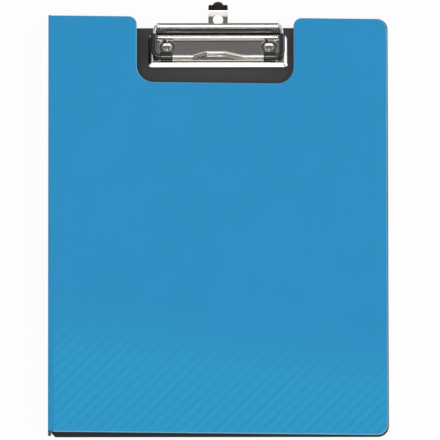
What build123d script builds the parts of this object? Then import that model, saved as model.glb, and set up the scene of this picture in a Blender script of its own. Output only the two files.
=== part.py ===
from build123d import *
import math
import os

# Closed A4 clipboard folder lying on its rear panel. X runs from the spine to the free edge, Y from the
# bottom edge to the hanging eye, Z up through the panels. All sizes are in millimetres.

# Panels, cut from sheet and joined by two pressed creases
FOLDER_WIDTH = 248.8  # outer face of the spine to the free edge of the rear board
COVER_HEIGHT = 315.0
BOARD_MARGIN = 0.6  # rear board beyond the cover, at top and at bottom
COVER_SETBACK = 0.4  # free edge of the cover behind that of the rear board
SPINE_DEPTH = 14.3  # from one crease axis to the other
OUTER_SHEET = 1.6  # blue foamed sheet of cover and spine
LINING = 0.6  # black inner layer of cover and spine
LINING_INSET = 0.3
REAR_SHEET = 0.6
REAR_SHEET_INSET = 1.0
BOARD = 2.2
CREASE_GAP = 0.15  # crease bead to the panel beside it
CLOSED_GAP = 0.3  # lining to the rear board at the free edge
FREE_CORNER_RADIUS = 8.0
SPINE_CORNER_RADIUS = 2.0
BOARD_CORNER_CUT = 3.0
CUT_EDGE_ROUND = 0.9

# Pocket welded to the lining, near the bottom edge
POCKET_SHEET = 0.35
POCKET_WELD = 0.3  # height of the weld seam
POCKET_SEAM = 3.0  # width of the weld seam
POCKET_EDGE = 12.0  # from the cover's edges to the pocket
POCKET_HEIGHT = 150.0
POCKET_THUMB_RADIUS = 12.0

# Base plate of the clip: a pressed tray turned over, riveted to the board through two sunk seats
PLATE_WIDTH = 102.5
PLATE_DEPTH = 26.1
PLATE_HEIGHT = 3.4
PLATE_SHEET = 0.9
PLATE_RIM = 1.9  # height of the upright rim below the slopes
PLATE_RIM_DRAFT = 0.2  # the rim leans in by this much
PLATE_SLOPE = 2.6  # run of the sloping front and sides, from the rim to the flat top
PLATE_REAR_SLOPE = 1.8
PLATE_FRONT_CORNER = 2.4
PLATE_REAR_CORNER = 5.0
PLATE_LEAST_CORNER = 0.8  # the front corners keep at least this radius towards the flat top
PLATE_BEND = 1.6  # outer radius of the bends round the flat top
PLATE_FROM_EDGE = 4.3  # behind it, to the edge of the board's recess
PAN_DEPTH = 0.3  # shallow pan pressed into the flat top
PAN_STEP = 0.5  # run of the pan's sloping edges
PAN_FROM_SLOPE = 1.8
PAN_FROM_REAR = 5.3

# Notch in the cover and recess in the board, both cut to suit the clip
NOTCH_SIDE_GAP = 6.3
NOTCH_FRONT_GAP = 13.2
NOTCH_OFFSET = -2.0
NOTCH_TOP_RADIUS = 6.0
NOTCH_FOOT_RADIUS = 12.5
RECESS_DEPTH = 6.9
RECESS_BEYOND_NOTCH = 6.5
RECESS_CORNER_SHARE = 0.48  # radius of each recess corner, as a share of the depth

# Rivets
RIVET_SPACING = 74.8
RIVET_FROM_REAR = 10.2  # plate's rear foot to the rivets
RIVET_HEAD_RADIUS = 3.5
RIVET_HEAD_EDGE = 1.3  # height of the head's upright edge
RIVET_DOME_HEIGHT = 0.95
RIVET_SHANK_RADIUS = 1.6
RIVET_FOOT_RADIUS = 2.4
SEAT_RADIUS = 5.8  # sunk seat at the plate's flat top
SEAT_FLOOR_RADIUS = 4.3
WASHER_RADIUS = 4.5
WASHER = 0.45
WASHER_HOLE_GAP = 0.4

# Lever: pressed strip, rolled round its pin along one edge and round the wire along the other
LEVER_INSET = 6.65  # plate's side to the lever's end
LEVER_SHEET = 0.8
LEVER_REACH = 9.0  # pin to wire roll
LEVER_ANGLE = 38.7  # degrees above the board, at rest
HINGE_ROLL_END = 20.0  # degrees behind upright at which the hinge roll's edge stops short of the web
LEVER_PANEL_INSET = 8.0  # sunk panel in the web, from each end
LEVER_PANEL_WIDTH = 2.6
LEVER_PANEL_DEPTH = 0.25
PIN_RADIUS = 1.0
PIN_RUNNING_GAP = 0.08
PIN_FROM_REAR = 4.1  # plate's rear foot to the pin
LEVER_OVER_PLATE = 0.32
EAR_INSET = 2.4  # lever's end to the middle of the ear
EAR_THICKNESS = 1.0
EAR_BEYOND_ROLL = 0.2  # the ear's round end beyond the lever's hinge roll
EAR_SIDE_GAP = 0.3
EAR_CUT_GAP = 0.4

# Wire bail and its corner sleeves
WIRE_RADIUS = 1.1
WIRE_ROLL_GAP = 0.1
WIRE_GRIP = 10.0  # length of each wire end inside the roll
WIRE_END_BEND = 2.2
WIRE_END_REACH = 1.1  # lever's end to the corner of the wire's first bend
WIRE_SPLAY = 3.9  # run over which each arm spreads to its full width
WIRE_SPLAY_BEND = 4.0
WIRE_CORNER_BEND = 4.0
BAIL_REACH = 14.9  # pin to bar, along the board
BOW_RISE = 3.0  # the middle of the bar stands back by this much
BOW_LEFT_FOOT = -18.3
BOW_LEFT_TOP = -8.3
BOW_RIGHT_TOP = 4.6
BOW_RIGHT_FOOT = 17.5
BOW_LEFT_BEND = 2.0
BOW_RIGHT_BEND = 14.0
SLEEVE_RADIUS = 2.1
SLEEVE_BORE_GAP = 0.05
SLEEVE_SIDE_GAP = 0.2
SLEEVE_ON_ARM = 16.4  # length of sleeve along the arm, from the bar
BARREL_RADIUS = 3.4
BARREL_LENGTH = 9.2
BARREL_INNER_END = 33.3  # from the middle of the bar
BARREL_ROUND = 0.8
BARREL_OVER_PLATE = 0.3

# Hanging eye: flat strip that slides under the plate
EYE_WIDTH = 14.2
EYE_SHEET = 0.8
EYE_OVER_BOARD = 0.15
EYE_SIDE_GAP = 0.5
EYE_HOLE_RADIUS = 3.8
EYE_HOLE_BEYOND_EDGE = 6.1  # recess edge to the hole's middle
EYE_LIP_BEYOND_HOLE = 7.2
EYE_LIP_ANGLE = 50.0
EYE_SHOULDER = 4.5  # lip, bend to shoulders
EYE_TONGUE = 7.4  # lip, bend to the tongue's tip
EYE_TONGUE_RADIUS = 4.0
EYE_BEND = 1.6
EYE_PULL_OUT = 5.0
EYE_STOP_GAP = 0.3

# Heights, from the face that the folder lies on
SHEET = OUTER_SHEET + LINING
CREASE_RADIUS = SHEET / 2
CREASE_CLEAR = CREASE_RADIUS + CREASE_GAP
BOARD_TOP = REAR_SHEET + BOARD
REAR_CREASE_Z = CREASE_RADIUS
FRONT_CREASE_Z = REAR_CREASE_Z + SPINE_DEPTH
PLATE_TOP = BOARD_TOP + PLATE_HEIGHT
PLATE_DROP = PLATE_HEIGHT - PLATE_RIM

# Places across the folder
SPINE_X = -FOLDER_WIDTH / 2
CREASE_X = SPINE_X + CREASE_RADIUS
FREE_X = FOLDER_WIDTH / 2
COVER_REACH = FREE_X - COVER_SETBACK - CREASE_X
NOTCH_WIDTH = PLATE_WIDTH + 2 * NOTCH_SIDE_GAP
LEVER_WIDTH = PLATE_WIDTH - 2 * LEVER_INSET
ARM_X = LEVER_WIDTH / 2 + SLEEVE_SIDE_GAP + SLEEVE_RADIUS
EAR_X = LEVER_WIDTH / 2 - EAR_INSET

# Places along the folder, from the rear board's bottom edge
COVER_BOTTOM = BOARD_MARGIN
COVER_TOP = COVER_BOTTOM + COVER_HEIGHT
BOARD_HEIGHT = COVER_TOP + BOARD_MARGIN
RECESS_Y = BOARD_HEIGHT - RECESS_DEPTH
PLATE_REAR = RECESS_Y - PLATE_FROM_EDGE
PLATE_FRONT = PLATE_REAR - PLATE_DEPTH
NOTCH_Y = PLATE_FRONT - NOTCH_FRONT_GAP
RIVET_Y = PLATE_REAR - RIVET_FROM_REAR
EYE_HOLE_Y = RECESS_Y + EYE_HOLE_BEYOND_EDGE
EYE_BEND_Y = EYE_HOLE_Y + EYE_LIP_BEYOND_HOLE
EYE_LIP_RUN = math.cos(math.radians(EYE_LIP_ANGLE))
EYE_TIP_Y = EYE_BEND_Y + EYE_TONGUE * EYE_LIP_RUN
MIDDLE_Y = EYE_TIP_Y / 2

# Lever section: pin, wire roll, and the bar of the bail in front
HINGE_ROLL_RADIUS = PIN_RADIUS + PIN_RUNNING_GAP + LEVER_SHEET
WIRE_ROLL_RADIUS = WIRE_RADIUS + WIRE_ROLL_GAP + LEVER_SHEET
EAR_RADIUS = HINGE_ROLL_RADIUS + EAR_BEYOND_ROLL
PIN_Y = PLATE_REAR - PIN_FROM_REAR
PIN_Z = PLATE_TOP + LEVER_OVER_PLATE + HINGE_ROLL_RADIUS
LEVER_RUN = math.cos(math.radians(LEVER_ANGLE))
LEVER_RISE = math.sin(math.radians(LEVER_ANGLE))
ROLL_Y = PIN_Y + LEVER_REACH * LEVER_RUN
ROLL_Z = PIN_Z + LEVER_REACH * LEVER_RISE
BAR_Y = PIN_Y - BAIL_REACH
BAR_Z = PLATE_TOP + BARREL_OVER_PLATE + BARREL_RADIUS


def cover_slope():
    """Degrees by which the closed cover falls from its crease to its free edge on the board."""
    drop = FRONT_CREASE_Z - BOARD_TOP - CLOSED_GAP
    reach = math.hypot(COVER_REACH, CREASE_RADIUS)
    return math.degrees(math.asin(drop / reach) - math.atan2(CREASE_RADIUS, COVER_REACH))


def outline(corners):
    """Flat face through (x, y, radius) corners, each rounded by its radius."""
    face = make_face(Polyline(*[(x, y) for x, y, radius in corners], close=True)).face()
    for x, y, radius in corners:
        if radius > 0:
            corner = face.vertices().sort_by_distance((x, y, 0))[0]
            face = face.fillet_2d(radius, [corner])
    return face


def plate(face, bottom, thickness):
    """Sheet of one thickness above the given height."""
    return Pos(0, 0, bottom) * extrude(face, thickness)


def block(low, high):
    """Box between two corners."""
    size = [b - a for a, b in zip(low, high)]
    middle = [(a + b) / 2 for a, b in zip(low, high)]
    return Pos(*middle) * Box(*size)


def rod(x_from, x_to, y, z, radius):
    """Round bar along X."""
    return Pos((x_from + x_to) / 2, y, z) * Rot(0, 90, 0) * Cylinder(radius, x_to - x_from)


def crease(z, bottom, top):
    """Rounded bead of a pressed crease, along Y at the spine."""
    return Pos(CREASE_X, (bottom + top) / 2, z) * Rot(90, 0, 0) * Cylinder(CREASE_RADIUS, top - bottom)


def cover_outline(inset):
    """The cover laid flat with its crease axis at x = 0, every edge drawn in by the inset."""
    left = CREASE_CLEAR + inset
    right = COVER_REACH - inset
    bottom = COVER_BOTTOM + inset
    top = COVER_TOP - inset
    notch_middle = NOTCH_OFFSET - CREASE_X
    notch_left = notch_middle - NOTCH_WIDTH / 2 - inset
    notch_right = notch_middle + NOTCH_WIDTH / 2 + inset
    notch_foot = NOTCH_Y - inset
    return outline([
        (left, bottom, SPINE_CORNER_RADIUS),
        (right, bottom, FREE_CORNER_RADIUS),
        (right, top, FREE_CORNER_RADIUS),
        (notch_right, top, NOTCH_TOP_RADIUS),
        (notch_right, notch_foot, NOTCH_FOOT_RADIUS),
        (notch_left, notch_foot, NOTCH_FOOT_RADIUS),
        (notch_left, top, NOTCH_TOP_RADIUS),
        (left, top, SPINE_CORNER_RADIUS),
    ])


def on_cover(solid):
    """Move a solid from the flat cover to its place on the closed folder."""
    return Pos(CREASE_X, 0, FRONT_CREASE_Z) * Rot(0, cover_slope(), 0) * solid


def front_cover_sheet():
    sheet = plate(cover_outline(0), CREASE_RADIUS - OUTER_SHEET, OUTER_SHEET)
    outer_edges = sheet.faces().sort_by(Axis.Z)[-1].edges()
    return on_cover(fillet(outer_edges, CUT_EDGE_ROUND))


def front_cover_lining():
    return on_cover(plate(cover_outline(LINING_INSET), -CREASE_RADIUS, LINING))


def inside_pocket():
    """Thin sheet under the lining, welded to it along the bottom and both sides."""
    left = CREASE_CLEAR + POCKET_EDGE
    right = COVER_REACH - POCKET_EDGE
    bottom = COVER_BOTTOM + POCKET_EDGE
    top = bottom + POCKET_HEIGHT
    weld_z = -CREASE_RADIUS - POCKET_WELD
    sheet_z = weld_z - POCKET_SHEET
    sheet = block((left, bottom, sheet_z), (right, top, weld_z))
    thumb = Cylinder(POCKET_THUMB_RADIUS, 2 * POCKET_SHEET)
    thumb = Pos((left + right) / 2, top, (sheet_z + weld_z) / 2) * thumb
    seams = block((left, bottom, weld_z), (right, top, -CREASE_RADIUS))
    inside = block(
        (left + POCKET_SEAM, bottom + POCKET_SEAM, weld_z),
        (right - POCKET_SEAM, top + POCKET_SEAM, -CREASE_RADIUS),
    )
    return on_cover(sheet - thumb + (seams - inside))


def spine_layer(x_from, x_to):
    """One layer of the upright spine, between its two creases."""
    bottom_z = REAR_CREASE_Z + CREASE_CLEAR
    top_z = FRONT_CREASE_Z - CREASE_CLEAR
    return block((x_from, COVER_BOTTOM, bottom_z), (x_to, COVER_TOP, top_z))


def board_outline(inset):
    """Rear board, with cut corners at the spine and the clip's recess in its top edge."""
    left = CREASE_X + CREASE_CLEAR + inset
    right = FREE_X - inset
    bottom = inset
    top = BOARD_HEIGHT - inset
    cut = BOARD_CORNER_CUT
    recess_left = NOTCH_OFFSET - NOTCH_WIDTH / 2 - RECESS_BEYOND_NOTCH - inset
    recess_right = NOTCH_OFFSET + NOTCH_WIDTH / 2 + RECESS_BEYOND_NOTCH + inset
    recess_y = RECESS_Y - inset
    recess_radius = RECESS_CORNER_SHARE * RECESS_DEPTH
    return outline([
        (left, bottom + cut, 0),
        (left + cut, bottom, 0),
        (right, bottom, FREE_CORNER_RADIUS),
        (right, top, FREE_CORNER_RADIUS),
        (recess_right, top, recess_radius),
        (recess_right, recess_y, recess_radius),
        (recess_left, recess_y, recess_radius),
        (recess_left, top, recess_radius),
        (left + cut, top, 0),
        (left, top - cut, 0),
    ])


def rivet_places():
    return [(side * RIVET_SPACING / 2, RIVET_Y) for side in (-1, 1)]


def rear_board():
    board = plate(board_outline(0), REAR_SHEET, BOARD)
    for x, y in rivet_places():
        board -= Pos(x, y, BOARD_TOP - BOARD / 2) * Cylinder(RIVET_SHANK_RADIUS, BOARD)
    return board


def rear_outer_sheet():
    sheet = plate(board_outline(REAR_SHEET_INSET), 0, REAR_SHEET)
    for x, y in rivet_places():
        sheet -= Pos(x, y, REAR_SHEET / 2) * Cylinder(WASHER_RADIUS + WASHER_HOLE_GAP, REAR_SHEET)
    return sheet


def plate_outline(inset, rear_inset, z):
    """The base plate's outline, drawn in at the front and sides, and by its own amount at the rear."""
    half = PLATE_WIDTH / 2 - inset
    front = PLATE_FRONT + inset
    rear = PLATE_REAR - rear_inset
    front_corner = max(PLATE_FRONT_CORNER - inset, PLATE_LEAST_CORNER)
    rear_corner = PLATE_REAR_CORNER - rear_inset
    return Pos(0, 0, z) * outline([
        (-half, front, front_corner),
        (half, front, front_corner),
        (half, rear, rear_corner),
        (-half, rear, rear_corner),
    ])


def sheet_below(run):
    """Height through the sheet, straight down from a slope of that run."""
    return PLATE_SHEET * math.hypot(run, PLATE_DROP) / run


def inner_inset(run):
    """Plate's outer edge to where the underside of that slope meets the underside of the flat top."""
    return PLATE_RIM_DRAFT + run * (PLATE_DROP - PLATE_SHEET + sheet_below(run)) / PLATE_DROP


def tray_outside():
    """The base plate's outer form, solid: low rim, four slopes and a flat top with rounded bends."""
    form = loft([
        plate_outline(0, 0, BOARD_TOP),
        plate_outline(PLATE_RIM_DRAFT, PLATE_RIM_DRAFT, BOARD_TOP + PLATE_RIM),
        plate_outline(PLATE_RIM_DRAFT + PLATE_SLOPE, PLATE_RIM_DRAFT + PLATE_REAR_SLOPE, PLATE_TOP),
    ], ruled=True)
    return fillet(form.faces().sort_by(Axis.Z)[-1].edges(), PLATE_BEND)


def tray_inside():
    """The hollow under the base plate, one sheet inside its outer form."""
    rim_inset = PLATE_RIM_DRAFT + PLATE_SHEET
    rim_z = BOARD_TOP + PLATE_RIM + PLATE_SHEET * PLATE_DROP / PLATE_SLOPE - sheet_below(PLATE_SLOPE)
    return loft([
        plate_outline(PLATE_SHEET, PLATE_SHEET, BOARD_TOP),
        plate_outline(rim_inset, rim_inset, rim_z),
        plate_outline(inner_inset(PLATE_SLOPE), inner_inset(PLATE_REAR_SLOPE), PLATE_TOP - PLATE_SHEET),
    ], ruled=True)


def clip_base_plate():
    tray = tray_outside() - tray_inside()
    underside = PLATE_HEIGHT - PLATE_SHEET
    seat_slope = (SEAT_RADIUS - SEAT_FLOOR_RADIUS) / underside
    wall_top = SEAT_RADIUS - seat_slope * PLATE_SHEET + PLATE_SHEET
    for x, y in rivet_places():
        wall = Cone(SEAT_FLOOR_RADIUS + PLATE_SHEET, wall_top, underside)
        tray += Pos(x, y, BOARD_TOP + underside / 2) * wall
        sunk = Cone(SEAT_FLOOR_RADIUS, SEAT_RADIUS, underside)
        tray -= Pos(x, y, PLATE_TOP - underside / 2) * sunk
        tray -= Pos(x, y, BOARD_TOP + PLATE_SHEET / 2) * Cylinder(RIVET_SHANK_RADIUS, PLATE_SHEET)
    tray -= pressed_pan()
    mouth = EYE_WIDTH / 2 + EYE_SIDE_GAP
    mouth_top = BOARD_TOP + EYE_OVER_BOARD + EYE_SHEET + EYE_SIDE_GAP
    behind_wall = PLATE_REAR - inner_inset(PLATE_REAR_SLOPE)
    tray -= block((-mouth, behind_wall, BOARD_TOP), (mouth, PLATE_REAR, mouth_top))
    for side in (-1, 1):
        tray += hinge_ear(side * EAR_X)
    return tray


def pressed_pan():
    """The shallow pan in the plate's flat top, inside a narrow level border."""
    inset = PLATE_RIM_DRAFT + PLATE_SLOPE + PAN_FROM_SLOPE
    return loft([
        plate_outline(inset, PAN_FROM_REAR, PLATE_TOP),
        plate_outline(inset + PAN_STEP, PAN_FROM_REAR + PAN_STEP, PLATE_TOP - PAN_DEPTH),
    ], ruled=True)


def hinge_ear(x):
    """Upright tab that carries one end of the lever's pin; the pressed lever comes down behind its stem."""
    near = x - EAR_THICKNESS / 2
    far = x + EAR_THICKNESS / 2
    low = PLATE_TOP - PLATE_SHEET / 2
    behind_pin = math.sqrt((EAR_RADIUS + EAR_CUT_GAP)**2 - HINGE_ROLL_RADIUS**2) - EAR_CUT_GAP
    stem = block((near, PIN_Y - EAR_RADIUS, low), (far, PIN_Y + behind_pin, PIN_Z))
    return stem + rod(near, far, PIN_Y, PIN_Z, EAR_RADIUS) - rod(near, far, PIN_Y, PIN_Z, PIN_RADIUS)


def lever_hinge_pin():
    return rod(-LEVER_WIDTH / 2, LEVER_WIDTH / 2, PIN_Y, PIN_Z, PIN_RADIUS)


def rivet(x, y):
    """Low domed head on the sunk seat, shank through the board, and the foot closed into its washer."""
    seat_z = BOARD_TOP + PLATE_SHEET
    head = RIVET_HEAD_EDGE + RIVET_DOME_HEIGHT
    dome_radius = (RIVET_HEAD_RADIUS**2 + RIVET_DOME_HEIGHT**2) / (2 * RIVET_DOME_HEIGHT)
    dome = Pos(0, 0, seat_z + head - dome_radius) * Sphere(dome_radius)
    above_seat = Pos(0, 0, seat_z + head / 2) * Cylinder(RIVET_HEAD_RADIUS, head)
    shank = Pos(0, 0, (seat_z + REAR_SHEET) / 2) * Cylinder(RIVET_SHANK_RADIUS, seat_z - REAR_SHEET)
    return Pos(x, y, 0) * (dome & above_seat) + Pos(x, y, 0) * (shank + rivet_foot())


def rivet_foot():
    return Pos(0, 0, REAR_SHEET - WASHER / 2) * Cone(RIVET_FOOT_RADIUS, RIVET_SHANK_RADIUS, WASHER)


def clip_rivets():
    return Compound(children=[rivet(x, y) for x, y in rivet_places()])


def rivet_washers():
    washer = Pos(0, 0, REAR_SHEET - WASHER / 2) * Cylinder(WASHER_RADIUS, WASHER) - rivet_foot()
    return Compound(children=[Pos(x, y, 0) * washer for x, y in rivet_places()])


def clip_lever():
    """Web between two rolls; the web runs tangent to their rear undersides, so they stand proud of it.
    The hinge roll is open towards the web."""
    normal_y = -LEVER_RISE
    normal_z = LEVER_RUN

    def off_axis(y, z, distance):
        return (y + normal_y * distance, z + normal_z * distance)

    web = make_face(Polyline(
        off_axis(PIN_Y, PIN_Z, -HINGE_ROLL_RADIUS),
        off_axis(ROLL_Y, ROLL_Z, -WIRE_ROLL_RADIUS),
        off_axis(ROLL_Y, ROLL_Z, LEVER_SHEET - WIRE_ROLL_RADIUS),
        off_axis(PIN_Y, PIN_Z, LEVER_SHEET - HINGE_ROLL_RADIUS),
        close=True,
    ))
    section = web + Pos(PIN_Y, PIN_Z) * Circle(HINGE_ROLL_RADIUS)
    section += Pos(ROLL_Y, ROLL_Z) * Circle(WIRE_ROLL_RADIUS)
    section -= Pos(PIN_Y, PIN_Z) * Circle(PIN_RADIUS + PIN_RUNNING_GAP)
    section -= Pos(ROLL_Y, ROLL_Z) * Circle(WIRE_RADIUS + WIRE_ROLL_GAP)
    half = LEVER_REACH / 2
    roll_end = math.radians(HINGE_ROLL_END)
    section -= make_face(Polyline(
        (PIN_Y, PIN_Z),
        (PIN_Y + half * math.sin(roll_end), PIN_Z + half * math.cos(roll_end)),
        off_axis(PIN_Y + half * LEVER_RUN, PIN_Z + half * LEVER_RISE, LEVER_SHEET - HINGE_ROLL_RADIUS),
        off_axis(PIN_Y, PIN_Z, LEVER_SHEET - HINGE_ROLL_RADIUS),
        close=True,
    ))
    lever = extrude(Plane.YZ * section, LEVER_WIDTH / 2, both=True)
    ear_half = EAR_THICKNESS / 2 + EAR_SIDE_GAP
    for side in (-1, 1):
        ear_x = side * EAR_X
        lever -= rod(ear_x - ear_half, ear_x + ear_half, PIN_Y, PIN_Z, EAR_RADIUS + EAR_CUT_GAP)
    return lever - sunk_panel()


def sunk_panel():
    """Long shallow pressing in the middle of the lever's web."""
    length = LEVER_WIDTH - 2 * LEVER_PANEL_INSET
    middle = LEVER_REACH / 2
    face_height = LEVER_SHEET - (HINGE_ROLL_RADIUS + WIRE_ROLL_RADIUS) / 2
    slot = extrude(SlotOverall(length, LEVER_PANEL_WIDTH), LEVER_PANEL_DEPTH, both=True)
    place = Pos(0, PIN_Y, PIN_Z) * Rot(LEVER_ANGLE, 0, 0) * Pos(0, middle, face_height)
    return place * slot


def wire_line(points, bends):
    return FilletPolyline(*points, radius=bends)


def tube(line, radius):
    return sweep((line ^ 0) * Circle(radius), path=line)


def wire_bail():
    grip_x = LEVER_WIDTH / 2 - WIRE_GRIP
    end_x = LEVER_WIDTH / 2 + WIRE_END_REACH
    splay_y = ROLL_Y - WIRE_SPLAY
    splay_z = ROLL_Z - WIRE_SPLAY * (ROLL_Z - BAR_Z) / (ROLL_Y - BAR_Y)
    bow_y = BAR_Y + BOW_RISE
    line = wire_line(
        [
            (-grip_x, ROLL_Y, ROLL_Z),
            (-end_x, ROLL_Y, ROLL_Z),
            (-ARM_X, splay_y, splay_z),
            (-ARM_X, BAR_Y, BAR_Z),
            (BOW_LEFT_FOOT, BAR_Y, BAR_Z),
            (BOW_LEFT_TOP, bow_y, BAR_Z),
            (BOW_RIGHT_TOP, bow_y, BAR_Z),
            (BOW_RIGHT_FOOT, BAR_Y, BAR_Z),
            (ARM_X, BAR_Y, BAR_Z),
            (ARM_X, splay_y, splay_z),
            (end_x, ROLL_Y, ROLL_Z),
            (grip_x, ROLL_Y, ROLL_Z),
        ],
        [
            WIRE_END_BEND,
            WIRE_SPLAY_BEND,
            WIRE_CORNER_BEND,
            BOW_LEFT_BEND,
            BOW_LEFT_BEND,
            BOW_RIGHT_BEND,
            BOW_RIGHT_BEND,
            WIRE_CORNER_BEND,
            WIRE_SPLAY_BEND,
            WIRE_END_BEND,
        ],
    )
    return tube(line, WIRE_RADIUS)


def corner_sleeve(side):
    """Sleeve round one corner of the wire, with a thicker barrel on the bar; side is -1 or 1."""
    arm_run = ROLL_Y - BAR_Y
    arm_rise = ROLL_Z - BAR_Z
    share = SLEEVE_ON_ARM / arm_run
    line = wire_line(
        [
            (side * ARM_X, BAR_Y + arm_run * share, BAR_Z + arm_rise * share),
            (side * ARM_X, BAR_Y, BAR_Z),
            (side * BARREL_INNER_END, BAR_Y, BAR_Z),
        ],
        [WIRE_CORNER_BEND],
    )
    ends = sorted([side * BARREL_INNER_END, side * (BARREL_INNER_END + BARREL_LENGTH)])
    barrel = rod(ends[0], ends[1], BAR_Y, BAR_Z, BARREL_RADIUS)
    barrel = fillet(barrel.edges().filter_by(GeomType.CIRCLE), BARREL_ROUND)
    return tube(line, SLEEVE_RADIUS) + barrel - tube(line, WIRE_RADIUS + SLEEVE_BORE_GAP)


def hanging_eye():
    """Strip with an upturned stop at its inner end and a bent lip with a tongue at its outer end."""
    middle_z = BOARD_TOP + EYE_OVER_BOARD + EYE_SHEET / 2
    stop_top = PLATE_TOP - PLATE_SHEET - EYE_STOP_GAP
    stop_y = PLATE_REAR - inner_inset(PLATE_REAR_SLOPE) - EYE_STOP_GAP - EYE_PULL_OUT - EYE_SHEET / 2
    lip_rise = math.sin(math.radians(EYE_LIP_ANGLE))
    lip_length = EYE_TONGUE + EYE_SHEET
    line = FilletPolyline(
        (stop_y, stop_top),
        (stop_y, middle_z),
        (EYE_BEND_Y, middle_z),
        (EYE_BEND_Y + lip_length * EYE_LIP_RUN, middle_z + lip_length * lip_rise),
        radius=[EYE_SHEET, EYE_BEND],
    )
    strip = extrude(Plane.YZ * trace(line, EYE_SHEET), EYE_WIDTH / 2, both=True)
    shoulder_y = EYE_BEND_Y + EYE_SHOULDER * EYE_LIP_RUN
    half = EYE_WIDTH / 2
    tongue_run = EYE_TONGUE_RADIUS * EYE_LIP_RUN
    plan = outline([
        (-half, stop_y - EYE_SHEET, 0),
        (half, stop_y - EYE_SHEET, 0),
        (half, shoulder_y, EYE_SHEET),
        (-half, shoulder_y, EYE_SHEET),
    ])
    plan += Pos(0, EYE_TIP_Y - tongue_run) * Ellipse(EYE_TONGUE_RADIUS, tongue_run)
    plan -= Pos(0, EYE_HOLE_Y) * Circle(EYE_HOLE_RADIUS)
    return strip & extrude(plan, FRONT_CREASE_Z)


def write(name, shape):
    """Save one sub-part with the folder's middle at the origin."""
    export_step(Pos(0, -MIDDLE_Y, 0) * shape, f"parts/{name}.step")


os.makedirs("parts", exist_ok=True)
write("rear_outer_sheet", rear_outer_sheet())
write("rear_board", rear_board())
write("rear_crease", crease(REAR_CREASE_Z, BOARD_CORNER_CUT, BOARD_HEIGHT - BOARD_CORNER_CUT))
write("spine_outer_sheet", spine_layer(SPINE_X, SPINE_X + OUTER_SHEET))
write("spine_lining", spine_layer(SPINE_X + OUTER_SHEET, SPINE_X + SHEET))
write("front_crease", crease(FRONT_CREASE_Z, COVER_BOTTOM, COVER_TOP))
write("front_cover_sheet", front_cover_sheet())
write("front_cover_lining", front_cover_lining())
write("inside_pocket", inside_pocket())
write("clip_base_plate", clip_base_plate())
write("clip_rivets", clip_rivets())
write("rivet_washers", rivet_washers())
write("lever_hinge_pin", lever_hinge_pin())
write("clip_lever", clip_lever())
write("wire_bail", wire_bail())
write("left_corner_sleeve", corner_sleeve(-1))
write("right_corner_sleeve", corner_sleeve(1))
write("hanging_eye", hanging_eye())
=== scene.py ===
import math
import bmesh
import bpy
from mathutils import Matrix, Vector


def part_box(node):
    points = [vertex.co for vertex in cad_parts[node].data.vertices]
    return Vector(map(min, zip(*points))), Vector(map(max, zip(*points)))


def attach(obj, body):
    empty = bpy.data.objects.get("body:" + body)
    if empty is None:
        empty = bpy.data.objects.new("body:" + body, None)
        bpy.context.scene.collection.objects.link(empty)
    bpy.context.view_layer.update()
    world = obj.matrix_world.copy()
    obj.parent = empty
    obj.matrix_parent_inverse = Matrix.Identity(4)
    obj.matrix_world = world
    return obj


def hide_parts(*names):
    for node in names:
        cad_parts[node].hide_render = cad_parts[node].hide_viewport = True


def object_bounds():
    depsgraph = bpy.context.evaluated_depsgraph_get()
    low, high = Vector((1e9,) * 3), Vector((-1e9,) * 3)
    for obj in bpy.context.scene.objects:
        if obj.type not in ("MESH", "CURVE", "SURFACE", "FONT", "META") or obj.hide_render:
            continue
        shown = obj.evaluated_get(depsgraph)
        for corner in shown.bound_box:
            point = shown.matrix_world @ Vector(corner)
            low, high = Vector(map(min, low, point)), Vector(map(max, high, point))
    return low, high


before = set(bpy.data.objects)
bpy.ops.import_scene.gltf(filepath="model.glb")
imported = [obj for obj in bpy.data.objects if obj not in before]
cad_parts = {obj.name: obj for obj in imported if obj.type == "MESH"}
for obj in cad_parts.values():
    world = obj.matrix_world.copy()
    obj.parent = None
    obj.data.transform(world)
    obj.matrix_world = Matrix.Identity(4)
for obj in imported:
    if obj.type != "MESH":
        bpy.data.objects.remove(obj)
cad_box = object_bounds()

# The rear board is a stiff sheet of black polypropylene, 2.2 mm thick, die-cut with a shallow recess
# in its top edge for the clip. The roller it was calendered on leaves a fine grain and a little cloud.


def linear(code):
    """An sRGB hex colour as linear red, green, blue and alpha."""
    levels = [int(code[i:i + 2], 16) / 255 for i in (1, 3, 5)]
    return [v / 12.92 if v <= 0.04045 else ((v + 0.055) / 1.055) ** 2.4 for v in levels] + [1.0]


def add(tree, kind, settings, sockets):
    """Add a node, give it its settings, and set or link each input that is named or numbered."""
    node = tree.nodes.new(kind)
    for name, value in settings.items():
        setattr(node, name, value)
    for name, value in sockets.items():
        if isinstance(value, bpy.types.NodeSocket):
            tree.links.new(value, node.inputs[name])
        else:
            node.inputs[name].default_value = value
    return node


def new_material(name):
    """An empty material with the place on the piece, in metres, ready to read."""
    made = bpy.data.materials.new(name)
    made.use_nodes = True
    made.node_tree.nodes.clear()
    place = add(made.node_tree, "ShaderNodeTexCoord", {}, {}).outputs["Object"]
    return made, made.node_tree, place


def finish_material(tree, shader):
    """Link the shader to the surface."""
    add(tree, "ShaderNodeOutputMaterial", {}, {"Surface": shader.outputs[0]})


def dress(node, finish):
    """Give every slot of a CAD node one material."""
    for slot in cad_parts[node].material_slots:
        slot.material = finish


def per_grain(size):
    """Noise scale for spots of this size, in metres: a light or a dark one takes half a noise cell."""
    return 0.5 / size


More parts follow.
